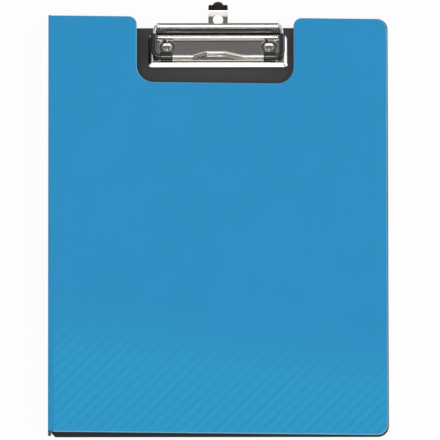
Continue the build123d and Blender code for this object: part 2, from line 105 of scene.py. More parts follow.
# Calendered black polypropylene: a dull black that scatters a soft grey light off a grain of 0.6 mm,
# drawn coarser than the real 0.2 mm so that it shows, with cloudy patches about 5 mm across. Its cut
# edges are duller, and painted nearly black as shade.
EDGE_SHADE_BAND = 0.0001  # the painted shade of the cut edges reaches this far onto the faces
EDGE_SHADE_FADE = 0.00005
black_sheet, tree, place = new_material("calendered_black_polypropylene")
grain = add(tree, "ShaderNodeTexNoise", {}, {
    "Vector": place, "Scale": per_grain(0.0006), "Detail": 3.0})
cloud = add(tree, "ShaderNodeTexNoise", {}, {
    "Vector": place, "Scale": per_grain(0.0045), "Detail": 2.0})
tone = add(tree, "ShaderNodeMixRGB", {}, {
    "Fac": cloud.outputs["Fac"], "Color1": linear("#2c2c2f"), "Color2": linear("#363639")})
low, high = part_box("rear_board")
# Painted shade: the board's cut edges, and a thin band beside them, are painted nearly black.
from_middle = add(tree, "ShaderNodeVectorMath", {"operation": "SUBTRACT"}, {
    0: place, 1: (low + high) / 2})
reach = add(tree, "ShaderNodeVectorMath", {"operation": "ABSOLUTE"}, {0: from_middle.outputs["Vector"]})
beyond = add(tree, "ShaderNodeVectorMath", {"operation": "SUBTRACT"}, {
    0: reach.outputs["Vector"], 1: (high - low) / 2 - Vector((EDGE_SHADE_BAND, EDGE_SHADE_BAND, 0))})
beyond = add(tree, "ShaderNodeSeparateXYZ", {}, {0: beyond.outputs["Vector"]})
beyond = add(tree, "ShaderNodeMath", {"operation": "MAXIMUM"}, {
    0: beyond.outputs["X"], 1: beyond.outputs["Y"]})
edge_shade = add(tree, "ShaderNodeMapRange", {}, {"Value": beyond.outputs[0], "From Max": EDGE_SHADE_FADE})
tone = add(tree, "ShaderNodeMixRGB", {}, {
    "Fac": edge_shade.outputs["Result"], "Color1": tone.outputs["Color"], "Color2": linear("#0b0b0d")})
relief = add(tree, "ShaderNodeBump", {}, {
    "Strength": 0.5, "Distance": 0.00004, "Height": grain.outputs["Fac"]})
gloss = add(tree, "ShaderNodeMapRange", {}, {
    "Value": grain.outputs["Fac"], "To Min": 0.50, "To Max": 0.68})
gloss = add(tree, "ShaderNodeMath", {"operation": "MULTIPLY_ADD"}, {
    0: edge_shade.outputs["Result"], 1: 0.3, 2: gloss.outputs["Result"]})
finish_material(tree, add(tree, "ShaderNodeBsdfPrincipled", {}, {
    "Base Color": tone.outputs["Color"], "Roughness": gloss.outputs[0],
    "IOR": 1.49, "Normal": relief.outputs["Normal"]}))
dress("rear_board", black_sheet)

# The outer layer of the rear panel is thin blue polypropylene, welded to the board inside its edges,
# with a round opening over each rivet.

# Matt blue polypropylene: a strong, even blue with a dull sheen, a grain of 0.3 mm drawn at 0.8 mm,
# and a very slight cloud of thicker and thinner pigment. At the spine's bottom end the blue is painted
# nearly black as shade.
SHADED_SPINE_END = 0.0004  # height of the end that is painted dark as shade


def blue_skin(tree, place):
    """Colour, normal and roughness of the blue skin, with its grain and its cloud of pigment."""
    grain = add(tree, "ShaderNodeTexNoise", {}, {
        "Vector": place, "Scale": per_grain(0.0008), "Detail": 2.0})
    cloud = add(tree, "ShaderNodeTexNoise", {}, {
        "Vector": place, "Scale": per_grain(0.015), "Detail": 1.0})
    tone = add(tree, "ShaderNodeMixRGB", {}, {
        "Fac": cloud.outputs["Fac"], "Color1": linear("#0086bc"), "Color2": linear("#0089c0")})
    relief = add(tree, "ShaderNodeBump", {}, {
        "Strength": 0.4, "Distance": 0.00003, "Height": grain.outputs["Fac"]})
    gloss = add(tree, "ShaderNodeMapRange", {}, {
        "Value": grain.outputs["Fac"], "To Min": 0.55, "To Max": 0.70})
    return tone.outputs["Color"], relief.outputs["Normal"], gloss.outputs["Result"]


blue_sheet, tree, place = new_material("matt_blue_polypropylene")
skin, relief, gloss = blue_skin(tree, place)
height = add(tree, "ShaderNodeSeparateXYZ", {}, {0: place})
low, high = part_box("spine_outer_sheet")
# Painted shade: below this height, at the spine's bottom end, the blue turns nearly black.
edge_shade = add(tree, "ShaderNodeMapRange", {}, {
    "Value": height.outputs["Y"], "From Min": low.y + SHADED_SPINE_END + EDGE_SHADE_BAND,
    "From Max": low.y + SHADED_SPINE_END})
tone = add(tree, "ShaderNodeMixRGB", {}, {
    "Fac": edge_shade.outputs["Result"], "Color1": skin, "Color2": linear("#0b1015")})
finish_material(tree, add(tree, "ShaderNodeBsdfPrincipled", {}, {
    "Base Color": tone.outputs["Color"], "Roughness": gloss, "IOR": 1.49, "Normal": relief}))
dress("rear_outer_sheet", blue_sheet)

# The spine is two layers, blue outside and black inside, between two pressed creases on which the
# folder opens and shuts.
for node in ("spine_outer_sheet", "rear_crease", "front_crease"):
    dress(node, blue_sheet)
dress("spine_lining", black_sheet)

# The front cover's outer layer is blue foamed polypropylene, 1.6 mm thick. A heated roller presses
# shallow diagonal stripes into its lower third, and the die leaves its cut edges slightly rounded.
STRIPE_PER_X = 117.73  # stripes for each metre to the right
STRIPE_PER_Y = -114.04  # stripes for each metre toward the top
STRIPE_START = 0.139  # share of a stripe at the middle of the bottom edge
STRIPE_DEPTH = 0.00028
LINES_PER_STRIPE = 6  # lines of the mesh along each stripe
CROSS_LINES = range(-21, 8)  # lines of the mesh across the stripes
CROSS_SPACING = 0.012
BOTTOM_Y = cad_box[0].y
FADE_MIDDLE = BOTTOM_Y + 0.0664  # where the stripes are pressed half deep
FADE_SLOPE = 0.118  # by which the fade falls to the right
FADE_LENGTH = 0.053
COVER_HALF = 0.1245  # just beyond the side edges
UPWARD = 0.93  # least rise of a normal on the skin; the rounded and cut edges have less
STEEP = 0.3  # most rise of a normal on the upright cut edges
MERGE = 0.000001  # points closer than this become one


def stripe_phase(x, y):
    """Stripes counted along the pattern; whole numbers lie on the lit flank of each."""
    return STRIPE_START + STRIPE_PER_X * x + STRIPE_PER_Y * (y - BOTTOM_Y)


def smooth(value):
    """Ease from 0 to 1."""
    value = min(max(value, 0.0), 1.0)
    return value * value * (3 - 2 * value)


def pressed(x, y):
    """Share of the full depth to which the roller has pressed the stripes at this place."""
    return smooth(0.5 + (FADE_MIDDLE - FADE_SLOPE * x - y) / FADE_LENGTH)


# Embossed blue polypropylene: the same blue, but under the heated roller it turns a little greener. The
# lit flank of each stripe, 6.1 mm from the next, is painted lighter than the flank behind it: painted
# shading.
embossed_sheet, tree, place = new_material("embossed_blue_polypropylene")
skin, relief, gloss = blue_skin(tree, place)
count = add(tree, "ShaderNodeVectorMath", {"operation": "DOT_PRODUCT"}, {
    0: place, 1: (STRIPE_PER_X, STRIPE_PER_Y, 0.0)})
angle = add(tree, "ShaderNodeMath", {"operation": "MULTIPLY_ADD"}, {
    0: count.outputs["Value"], 1: 2 * math.pi, 2: 2 * math.pi * stripe_phase(0, 0)})
swing = add(tree, "ShaderNodeMath", {"operation": "COSINE"}, {0: angle.outputs[0]})
# Painted shading: the stripes' lit flanks are painted a lighter blue than their shaded flanks.
painted_flank_light = add(tree, "ShaderNodeMapRange", {}, {"Value": swing.outputs[0], "From Min": -1.0})
stripes = add(tree, "ShaderNodeMixRGB", {}, {
    "Fac": painted_flank_light.outputs["Result"], "Color1": linear("#008ebe"), "Color2": linear("#0093c5")})
height = add(tree, "ShaderNodeVectorMath", {"operation": "DOT_PRODUCT"}, {
    0: place, 1: (FADE_SLOPE, 1.0, 0.0)})
share = add(tree, "ShaderNodeMapRange", {"interpolation_type": "SMOOTHSTEP"}, {
    "Value": height.outputs["Value"], "From Min": FADE_MIDDLE + FADE_LENGTH / 2,
    "From Max": FADE_MIDDLE - FADE_LENGTH / 2})
tone = add(tree, "ShaderNodeMixRGB", {}, {
    "Fac": share.outputs["Result"], "Color1": skin, "Color2": stripes.outputs["Color"]})
finish_material(tree, add(tree, "ShaderNodeBsdfPrincipled", {}, {
    "Base Color": tone.outputs["Color"], "Roughness": gloss, "IOR": 1.49, "Normal": relief}))

# The cut edge of the foamed sheet: cells 0.2 mm wide, drawn at 0.4 mm, make it paler than the skin.
foam_edge, tree, place = new_material("cut_foamed_polypropylene")
cells = add(tree, "ShaderNodeTexNoise", {}, {
    "Vector": place, "Scale": per_grain(0.0004), "Detail": 2.0})
tone = add(tree, "ShaderNodeMixRGB", {}, {
    "Fac": cells.outputs["Fac"], "Color1": linear("#579cbc"), "Color2": linear("#67abc9")})
relief = add(tree, "ShaderNodeBump", {}, {
    "Strength": 0.6, "Distance": 0.00005, "Height": cells.outputs["Fac"]})
finish_material(tree, add(tree, "ShaderNodeBsdfPrincipled", {}, {
    "Base Color": tone.outputs["Color"], "Roughness": 0.7, "IOR": 1.49,
    "Normal": relief.outputs["Normal"]}))


def merged_copy(node, name, finishes, mode):
    """A copy of a CAD node with its loose triangles merged, selected all over in edit mode."""
    copy = bpy.data.objects.new(name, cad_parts[node].data.copy())
    bpy.context.collection.objects.link(copy)
    copy.data.materials.clear()
    for finish in finishes:
        copy.data.materials.append(finish)
    bpy.ops.object.select_all(action="DESELECT")
    copy.select_set(True)
    bpy.context.view_layer.objects.active = copy
    bpy.ops.object.mode_set(mode="EDIT")
    bpy.ops.mesh.select_mode(type=mode)
    bpy.ops.mesh.select_all(action="SELECT")
    bpy.ops.mesh.remove_doubles(threshold=MERGE)
    bpy.ops.mesh.customdata_custom_splitnormals_clear()
    bpy.ops.mesh.dissolve_limited(angle_limit=math.radians(0.2))
    return copy


def press_in(piece, group, direction, depth):
    """Move the surface of the active piece by each point's share of the depth."""
    press = piece.modifiers.new(group.name, "DISPLACE")
    press.direction = direction
    press.vertex_group = group.name
    press.mid_level = 0.0
    press.strength = depth
    bpy.ops.object.modifier_apply(modifier=press.name)


cover = merged_copy("front_cover_sheet", "front_cover", (embossed_sheet, foam_edge), "FACE")
striped_top = FADE_MIDDLE + FADE_SLOPE * COVER_HALF + FADE_LENGTH / 2
bpy.ops.mesh.select_all(action="SELECT")
bpy.ops.mesh.bisect(plane_co=(0, striped_top, 0), plane_no=(0, 1, 0))
mesh = bmesh.from_edit_mesh(cover.data)
for face in mesh.faces:
    face.select_set(face.calc_center_median().y > striped_top or face.normal.z < STEEP)
    face.material_index = 1 if abs(face.normal.z) < UPWARD else 0
bmesh.update_edit_mesh(cover.data)
bpy.ops.mesh.hide(unselected=False)
across = Vector((STRIPE_PER_X, STRIPE_PER_Y, 0))
first = math.ceil(stripe_phase(-COVER_HALF, striped_top) * LINES_PER_STRIPE)
last = math.floor(stripe_phase(COVER_HALF, BOTTOM_Y) * LINES_PER_STRIPE)
for count in range(first, last + 1):
    reach = (count / LINES_PER_STRIPE - stripe_phase(0, 0)) / across.length_squared
    bpy.ops.mesh.select_all(action="SELECT")
    bpy.ops.mesh.bisect(plane_co=across * reach, plane_no=across)
along = Vector((-across.y, across.x, 0)).normalized()
for count in CROSS_LINES:
    bpy.ops.mesh.select_all(action="SELECT")
    bpy.ops.mesh.bisect(plane_co=along * count * CROSS_SPACING, plane_no=along)
bpy.ops.mesh.reveal(select=False)
bpy.ops.object.mode_set(mode="OBJECT")
group = cover.vertex_groups.new(name="pressed_by_roller")
upward = set()
for polygon in cover.data.polygons:
    if polygon.normal.z > UPWARD:
        upward.update(polygon.vertices)
for index in upward:
    x, y = cover.data.vertices[index].co.xy
    wave = 0.5 + 0.5 * math.sin(2 * math.pi * stripe_phase(x, y))
    group.add([index], wave * pressed(x, y), "REPLACE")
press_in(cover, group, "Z", -STRIPE_DEPTH)
bpy.ops.object.shade_smooth_by_angle(angle=math.radians(35))
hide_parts("front_cover_sheet")
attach(cover, "front_cover")

# Along the spine the cover's blue skin runs on to the round of the crease, with a shallow groove
# where the folding bar was pressed in beside it. The section is in millimetres from the middle of the
# crease: out toward the free edge, and up.
GROOVE = [
    (0.15, 1.097), (0.45, 1.04), (0.85, 0.97), (1.25, 0.94), (1.65, 0.97), (2.05, 1.04),
    (2.40, 1.088), (2.75, 1.096), (2.75, 0.60), (1.30, 0.0), (1.125, 0.0), (1.06, 0.40),
    (0.87, 0.72), (0.57, 0.975), (0.30, 1.075),
]
GROOVE_SHORT = 0.0003  # stops this far inside each end of the crease
low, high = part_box("front_crease")
bead = (low + high) / 2
groove_low = low.y + GROOVE_SHORT
groove_length = high.y - low.y - 2 * GROOVE_SHORT
# The closed cover leans very slightly, so its largest face gives the direction that is up from it.
flat = max(cover.data.polygons, key=lambda polygon: polygon.normal.z * polygon.area).normal.copy()
toward_edge = Vector((flat.z, 0, -flat.x))
bpy.ops.object.select_all(action="DESELECT")
bpy.ops.mesh.primitive_circle_add(vertices=len(GROOVE), fill_type="NGON")
groove = bpy.context.object
groove.name = "crease_groove"
for vertex, (out, up) in zip(groove.data.vertices, GROOVE):
    vertex.co = Vector((bead.x, groove_low, bead.z)) + toward_edge * out / 1000 + flat * up / 1000
bpy.ops.object.mode_set(mode="EDIT")
bpy.ops.mesh.select_all(action="SELECT")
bpy.ops.mesh.extrude_region_move(TRANSFORM_OT_translate={"value": (0, groove_length, 0)})
bpy.ops.mesh.select_all(action="SELECT")
bpy.ops.mesh.normals_make_consistent(inside=False)
bpy.ops.object.mode_set(mode="OBJECT")
bpy.ops.object.shade_smooth_by_angle(angle=math.radians(30))
groove.data.materials.append(blue_sheet)
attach(groove, "front_cover")

# The cover's lining is a 0.6 mm layer of black polypropylene, welded to the inside of the blue sheet
# and die-cut with it.
dress("front_cover_lining", black_sheet)

# Inside the cover, near its bottom edge, a pocket of thin black polypropylene film is welded to the
# lining along three sides.

# Cast black polypropylene film: shinier than the sheets, with shallow ripples about 10 mm across.
pocket_film, tree, place = new_material("cast_black_polypropylene_film")
ripple = add(tree, "ShaderNodeTexNoise", {}, {
    "Vector": place, "Scale": per_grain(0.010), "Detail": 2.0})
relief = add(tree, "ShaderNodeBump", {}, {
    "Strength": 0.5, "Distance": 0.0002, "Height": ripple.outputs["Fac"]})
gloss = add(tree, "ShaderNodeMapRange", {}, {
    "Value": ripple.outputs["Fac"], "To Min": 0.28, "To Max": 0.40})
finish_material(tree, add(tree, "ShaderNodeBsdfPrincipled", {}, {
    "Base Color": linear("#232326"), "Roughness": gloss.outputs["Result"],
    "IOR": 1.49, "Normal": relief.outputs["Normal"]}))
dress("inside_pocket", pocket_film)

# The clip's base plate is a low tray turned over, pressed from 0.9 mm steel with a sunk seat for each
# of its two rivets, and nickel plated.

# Bright nickel plate: a warm mirror. Slight waves of the rolled steel, about 3 mm long, show through
# the plating, and handling leaves patches of finer and duller polish. Beside the lever's hinge roll, in
# the fold behind it and under its front, the plate is painted a dull dark grey as shade and dark
# reflection. Each spot of it gives its place behind and above the pin's middle, and its radius.
SHADE_SPOTS = ((0.00205, 0.0008, 0.0008), (-0.0013, -0.0008, 0.0011))
SHADE_SPOT_FADE = 0.0006
nickel, tree, place = new_material("bright_nickel_plate")
wave = add(tree, "ShaderNodeTexNoise", {}, {
    "Vector": place, "Scale": per_grain(0.003), "Detail": 1.0})
haze = add(tree, "ShaderNodeTexNoise", {}, {
    "Vector": place, "Scale": per_grain(0.0015), "Detail": 4.0})
relief = add(tree, "ShaderNodeBump", {}, {
    "Strength": 1.0, "Distance": 0.000003, "Height": wave.outputs["Fac"]})
gloss = add(tree, "ShaderNodeMapRange", {}, {
    "Value": haze.outputs["Fac"], "To Min": 0.07, "To Max": 0.13})
tone = add(tree, "ShaderNodeMixRGB", {}, {
    "Fac": haze.outputs["Fac"], "Color1": linear("#d7d4d0"), "Color2": linear("#d2cfca")})
low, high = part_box("lever_hinge_pin")
section = add(tree, "ShaderNodeVectorMath", {"operation": "MULTIPLY"}, {0: place, 1: (0.0, 1.0, 1.0)})
painted_fold_shade = 0.0
for back, up, reach in SHADE_SPOTS:
    spot = Vector((0, (low.y + high.y) / 2 + back, (low.z + high.z) / 2 + up))
    away = add(tree, "ShaderNodeVectorMath", {"operation": "DISTANCE"}, {
        0: section.outputs["Vector"], 1: spot})
    near = add(tree, "ShaderNodeMapRange", {"interpolation_type": "SMOOTHSTEP"}, {
        "Value": away.outputs["Value"], "From Min": reach + SHADE_SPOT_FADE, "From Max": reach})
    painted_fold_shade = add(tree, "ShaderNodeMath", {"operation": "MAXIMUM"}, {
        0: painted_fold_shade, 1: near.outputs["Result"]}).outputs[0]
# Painted shade: near the hinge roll the nickel turns a dull dark grey, and rougher.
tone = add(tree, "ShaderNodeMixRGB", {}, {
    "Fac": painted_fold_shade, "Color1": tone.outputs["Color"], "Color2": linear("#2a2725")})
gloss = add(tree, "ShaderNodeMath", {"operation": "MULTIPLY_ADD"}, {
    0: painted_fold_shade, 1: 0.4, 2: gloss.outputs["Result"]})
finish_material(tree, add(tree, "ShaderNodeBsdfPrincipled", {}, {
    "Base Color": tone.outputs["Color"], "Metallic": 1.0, "Roughness": gloss.outputs[0],
    "Normal": relief.outputs["Normal"]}))
dress("clip_base_plate", nickel)

# Two steel rivets, nickel plated, hold the clip to the board. Each has a low crowned head with a
# rounded rim, a shank, and a foot that is spread into its washer.
RIVET_HEAD = 0.0035  # radius
RIVET_RIM = 0.0006  # width of the rounded rim
RIVET_SHANK = 0.0016  # radius
RIVET_FOOT = 0.0024  # radius at the spread end
FOOT_HEIGHT = 0.00045
SEAT_FLOOR_Z = 0.0037  # where the head sits on the base plate
CROWN = math.radians(13)  # slope at which the crown meets the rim
ARC_STEPS = 8
TURN_STEPS = 64
low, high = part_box("clip_rivets")
crown_radius = (RIVET_HEAD - RIVET_RIM) / math.sin(CROWN)
rim_radius = RIVET_RIM / (1 - math.sin(CROWN))
rim_z = high.z - crown_radius * (1 - math.cos(CROWN)) - rim_radius * math.cos(CROWN)
profile = []
for step in range(ARC_STEPS + 1):
    angle = CROWN * step / ARC_STEPS
    profile.append((crown_radius * math.sin(angle), high.z - crown_radius * (1 - math.cos(angle))))
for step in range(1, ARC_STEPS + 1):
    angle = CROWN + (math.pi / 2 - CROWN) * step / ARC_STEPS
    profile.append((
        RIVET_HEAD - rim_radius * (1 - math.sin(angle)), rim_z + rim_radius * math.cos(angle)))
profile += [
    (RIVET_HEAD, SEAT_FLOOR_Z), (RIVET_SHANK, SEAT_FLOOR_Z), (RIVET_SHANK, low.z + FOOT_HEIGHT),
    (RIVET_FOOT, low.z), (0, low.z),
]
heads = []
for side in (-1, 1):
    middle = Vector((side * (high.x - RIVET_HEAD), (low.y + high.y) / 2, 0))
    bpy.ops.object.select_all(action="DESELECT")
    bpy.ops.mesh.primitive_circle_add(vertices=len(profile), fill_type="NOTHING")
    head = bpy.context.object
    for vertex, (out, up) in zip(head.data.vertices, profile):
        vertex.co = middle + Vector((out, 0, up))
    bpy.ops.object.mode_set(mode="EDIT")
    bpy.ops.mesh.select_all(action="SELECT")
    bpy.ops.mesh.spin(steps=TURN_STEPS, angle=2 * math.pi, center=middle, axis=(0, 0, 1))
    bpy.ops.mesh.select_all(action="SELECT")
    bpy.ops.mesh.remove_doubles(threshold=MERGE)
    bpy.ops.mesh.delete_loose()
    bpy.ops.mesh.select_all(action="SELECT")
    bpy.ops.mesh.normals_make_consistent(inside=False)
    bpy.ops.object.mode_set(mode="OBJECT")
    bpy.ops.object.shade_smooth_by_angle(angle=math.radians(30))
    head.data.materials.append(nickel)
    heads.append(head)
bpy.ops.object.select_all(action="DESELECT")
for head in heads:
    head.select_set(True)
bpy.context.view_layer.objects.active = heads[0]
bpy.ops.object.join()
heads[0].name = "crowned_rivets"
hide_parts("clip_rivets")
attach(heads[0], "rear_panel")

# Each rivet's foot is closed into a countersunk steel washer, zinc plated, that lies against the back
# of the board in the rear sheet's opening.

# Zinc plated steel: a cool, satin grey with spangles 1.2 mm across.
SPANGLE = 0.0012
zinc, tree, place = new_material("zinc_plated_steel")
spangle = add(tree, "ShaderNodeTexVoronoi", {}, {"Vector": place, "Scale": 1 / SPANGLE})
gloss = add(tree, "ShaderNodeMapRange", {}, {
    "Value": spangle.outputs["Distance"], "To Min": 0.30, "To Max": 0.45})
tone = add(tree, "ShaderNodeMixRGB", {}, {
    "Fac": spangle.outputs["Distance"], "Color1": linear("#c2c2c0"), "Color2": linear("#a9aaa9")})
finish_material(tree, add(tree, "ShaderNodeBsdfPrincipled", {}, {
    "Base Color": tone.outputs["Color"], "Metallic": 1.0, "Roughness": gloss.outputs["Result"]}))
dress("rivet_washers", zinc)

# The lever turns on a plain steel pin, 2 mm thick and nickel plated, whose ends are held in the base
# plate's two ears.
dress("lever_hinge_pin", nickel)

# The lever is a strip of 0.8 mm steel, rolled round its pin along one edge and round the wire along
# the other. Its web is slightly crowned, with a long shallow pressing and a dimple near each end.
LEVER_SHEET = 0.0008
HINGE_CURL = 0.00148  # from the pin's middle to the middle of the rolled sheet
HINGE_TURN = math.radians(-239)
WIRE = 0.0011  # radius
WIRE_CURL = 0.0016  # from the wire's middle to the middle of the rolled sheet
WIRE_TURN = math.radians(295)
CURL_STEPS = 36
WEB_COLUMNS = 90
WEB_ROWS = 14
ON_EDGE = 0.0001  # share of the web's height within which a point is on its edge
CROWN_HEIGHT = 0.00014
PRESSED_DEPTH = 0.00010
LONG_HALF = 0.034  # half of the long pressing's length
LONG_SHARE = 0.30  # half of its width, as a share of the web's height
LONG_TIP = 0.02  # where its half width is less than this share, it has run out
DIMPLE_X = 0.0367
DIMPLE_HALF = 0.0032
DIMPLE_SHARE = 0.17
DIMPLE_DEPTH = 1.6  # as a share of the long pressing's
EAR_SLOTS = ((0.0413, 0.0431), (-0.0431, -0.0413))
EAR_CLEAR = 0.00248  # radius round the pin that is cut away for the ear
EDGE_ROUND = 0.00010
BACK_FACING = -0.8  # most that a normal on the web's back points to its front
WEB_ENDS = 0.02  # share of the web's height at each end that belongs to the rolls
low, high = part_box("lever_hinge_pin")
pin = Vector((0, (low.y + high.y) / 2, (low.z + high.z) / 2))
low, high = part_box("wire_bail")
roll = Vector((0, high.y - WIRE, high.z - WIRE))
low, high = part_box("clip_lever")
lever_width = high.x - low.x
rise = (roll - pin).normalized()
face_normal = Vector((0, -rise.z, rise.y))
web_foot = pin - face_normal * HINGE_CURL
web_head = roll - face_normal * WIRE_CURL
web = web_head - web_foot
bpy.ops.object.select_all(action="DESELECT")
bpy.ops.mesh.primitive_grid_add(
    x_subdivisions=WEB_COLUMNS, y_subdivisions=WEB_ROWS, size=1.0,
    location=(web_foot + web_head) / 2, rotation=(math.atan2(web.z, web.y), 0, 0))
lever = bpy.context.object
lever.name = "pressed_lever"
lever.scale = (lever_width, web.length, 1.0)
bpy.ops.object.transform_apply(location=True, rotation=True, scale=True)


def up_web(place):
    """Share of the web's height at which a place lies."""
    return (place - web_foot).dot(web) / web.length_squared


def crowned(place):
    """The web bulges between its rolls by this share of its full crown."""
    share = up_web(place)
    return 4 * share * (1 - share)


def sunk(place):
    """Depth of the long pressing and of the two dimples, as a share."""
    above_middle = up_web(place) - 0.5
    half = LONG_SHARE * math.sqrt(max(0.0, 1 - (place.x / LONG_HALF) ** 2))
    across = abs(above_middle) / half if half > LONG_TIP else 1.0
    long_one = (1 - min(across, 1.0) ** 2) ** 2
    apart = ((abs(place.x) - DIMPLE_X) / DIMPLE_HALF) ** 2 + (above_middle / DIMPLE_SHARE) ** 2
    return max(long_one, DIMPLE_DEPTH * (1 - min(apart, 1.0)) ** 2)


for name, form, depth in (("crowned", crowned, CROWN_HEIGHT), ("sunk", sunk, -PRESSED_DEPTH)):
    group = lever.vertex_groups.new(name=name)
    for vertex in lever.data.vertices:
        group.add([vertex.index], form(vertex.co), "REPLACE")
    press_in(lever, group, "NORMAL", depth)
bpy.ops.object.mode_set(mode="EDIT")
bpy.ops.mesh.select_mode(type="VERT")
for edge, centre, curl in ((0.0, pin, HINGE_TURN), (1.0, roll, WIRE_TURN)):
    bpy.ops.mesh.select_all(action="DESELECT")
    mesh = bmesh.from_edit_mesh(lever.data)
    for vertex in mesh.verts:
        vertex.select_set(abs(up_web(vertex.co) - edge) < ON_EDGE and vertex.is_boundary)
    mesh.select_flush(True)
    bmesh.update_edit_mesh(lever.data)
    bpy.ops.mesh.spin(steps=CURL_STEPS, angle=curl, center=centre, axis=(1, 0, 0))
for slot in EAR_SLOTS:
    for x in slot:
        bpy.ops.mesh.select_all(action="SELECT")
        bpy.ops.mesh.bisect(plane_co=(x, 0, 0), plane_no=(1, 0, 0))
bpy.ops.mesh.select_mode(type="FACE")
bpy.ops.mesh.select_all(action="DESELECT")
mesh = bmesh.from_edit_mesh(lever.data)
for face in mesh.faces:
    place = face.calc_center_median()
    in_slot = any(near < place.x < far for near, far in EAR_SLOTS)
    face.select_set(in_slot and math.hypot(place.y - pin.y, place.z - pin.z) < EAR_CLEAR)
bmesh.update_edit_mesh(lever.data)
bpy.ops.mesh.delete(type="FACE")
bpy.ops.mesh.select_all(action="SELECT")
bpy.ops.mesh.remove_doubles(threshold=MERGE)
bpy.ops.mesh.normals_make_consistent(inside=False)
bpy.ops.object.mode_set(mode="OBJECT")
wall = lever.modifiers.new("sheet", "SOLIDIFY")
wall.thickness = LEVER_SHEET
wall.offset = 0.0
bpy.ops.object.modifier_apply(modifier=wall.name)


def ease_edges(piece, width, sharp):
    """Round the edges of the active piece, sharper than this angle, and light its flat faces evenly."""
    ease = piece.modifiers.new("edges", "BEVEL")
    ease.width = width
    ease.segments = 2
    ease.limit_method = "ANGLE"
    ease.angle_limit = sharp
    bpy.ops.object.modifier_apply(modifier=ease.name)
    bpy.ops.object.shade_smooth_by_angle(angle=math.radians(50))
    level = piece.modifiers.new("flat faces", "WEIGHTED_NORMAL")
    level.keep_sharp = True
    bpy.ops.object.modifier_apply(modifier=level.name)


ease_edges(lever, EDGE_ROUND, math.radians(60))
lever.data.materials.append(nickel)

# Unpolished nickel plate: only the strip's face is polished before plating. The back of the web stays
# dull, with scratches of the rolling mill along it, 0.3 mm wide and ten times as long. Its darker grey
# is painted shade, for the back faces away from the light.
dull_nickel_painted_shade, tree, place = new_material("unpolished_nickel_painted_shade")
brushed = add(tree, "ShaderNodeVectorMath", {"operation": "MULTIPLY"}, {0: place, 1: (0.1, 1.0, 1.0)})
scratch = add(tree, "ShaderNodeTexNoise", {}, {
    "Vector": brushed.outputs["Vector"], "Scale": per_grain(0.0003), "Detail": 3.0})
tone = add(tree, "ShaderNodeMixRGB", {}, {
    "Fac": scratch.outputs["Fac"], "Color1": linear("#7d7b77"), "Color2": linear("#6f6d6a")})
gloss = add(tree, "ShaderNodeMapRange", {}, {
    "Value": scratch.outputs["Fac"], "To Min": 0.35, "To Max": 0.5})
finish_material(tree, add(tree, "ShaderNodeBsdfPrincipled", {}, {
    "Base Color": tone.outputs["Color"], "Metallic": 1.0, "Roughness": gloss.outputs["Result"]}))
lever.data.materials.append(dull_nickel_painted_shade)
# Painted shade: the faces on the web's back take the darker grey.
for polygon in lever.data.polygons:
    on_web = WEB_ENDS < up_web(polygon.center) < 1 - WEB_ENDS
    if on_web and polygon.normal.dot(face_normal) < BACK_FACING:
        polygon.material_index = 1
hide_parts("clip_lever")
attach(lever, "clamp")

# The bail is one length of spring wire, 2.2 mm thick, bent to a U and nickel plated. The lever's top
# roll grips its ends, and its bowed bar presses on the paper.
dress("wire_bail", nickel)

# Sleeves of soft black vinyl, moulded with a thick barrel at one end, cover the wire's corners.

# Moulded black vinyl: nearly black and glossy, with faint specks 0.4 mm across.
vinyl, tree, place = new_material("moulded_black_vinyl")
speck = add(tree, "ShaderNodeTexNoise", {}, {
    "Vector": place, "Scale": per_grain(0.0004), "Detail": 2.0})
relief = add(tree, "ShaderNodeBump", {}, {
    "Strength": 0.2, "Distance": 0.00001, "Height": speck.outputs["Fac"]})
gloss = add(tree, "ShaderNodeMapRange", {}, {
    "Value": speck.outputs["Fac"], "To Min": 0.09, "To Max": 0.14})
finish_material(tree, add(tree, "ShaderNodeBsdfPrincipled", {}, {
    "Base Color": linear("#17161b"), "Roughness": gloss.outputs["Result"], "IOR": 1.53,
    "Coat Weight": 0.15, "Coat Roughness": 0.08, "Normal": relief.outputs["Normal"]}))
dress("left_corner_sleeve", vinyl)
dress("right_corner_sleeve", vinyl)

# The hanging eye is a steel strip that slides out from under the base plate. It curves up gently from
# the middle of its hole on, and its end is bent up sharply to a lip with a tongue for the finger.
EYE_SHEET = 0.0008
CURVE_START = 0.1522
CURVE_GAP = 0.0006  # from one line of the curve to the next
CURVE_LINES = 8
CURVE_TURN = 1.5  # degrees up at each line
EYE_LIP = 0.1589
LIP_TURN = -CURVE_LINES * CURVE_TURN  # takes the curve's tilt off the lip again
JUST_PAST = 0.00002
EYE_EDGE_ROUND = 0.00012
low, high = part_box("hanging_eye")
eye = merged_copy("hanging_eye", "bent_eye", (nickel,), "VERT")
curve = [CURVE_START + CURVE_GAP * step for step in range(CURVE_LINES)]
for y in curve:
    bpy.ops.mesh.select_all(action="SELECT")
    bpy.ops.mesh.bisect(plane_co=(0, y, 0), plane_no=(0, 1, 0))
bends = [(y, CURVE_TURN) for y in curve] + [(EYE_LIP, LIP_TURN)]
lifted = 0.0
tilt = 0.0
previous = CURVE_START
mid_z = low.z + EYE_SHEET / 2
for y, angle in bends:
    lifted += math.tan(math.radians(tilt)) * (y - previous)
    previous = y
    bpy.ops.mesh.select_all(action="DESELECT")
    mesh = bmesh.from_edit_mesh(eye.data)
    for vertex in mesh.verts:
        vertex.select_set(vertex.co.y > y + JUST_PAST)
    mesh.select_flush(True)
    bmesh.update_edit_mesh(eye.data)
    bpy.ops.transform.rotate(
        value=math.radians(-angle), orient_axis="X", center_override=(0, y, mid_z + lifted))
    tilt += angle
bpy.ops.mesh.select_all(action="DESELECT")
bpy.ops.object.mode_set(mode="OBJECT")
ease_edges(eye, EYE_EDGE_ROUND, math.radians(50))
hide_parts("hanging_eye")
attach(eye, "eye")

# A plain pale table top lies just under the folder.
TABLE = 8.0
TABLE_DROP = 0.0001
bpy.ops.mesh.primitive_plane_add(size=TABLE, location=(0, 0, -TABLE_DROP))
floor = bpy.context.object
floor.name = "table_top"
bpy.ops.object.transform_apply(location=True, rotation=True, scale=True)

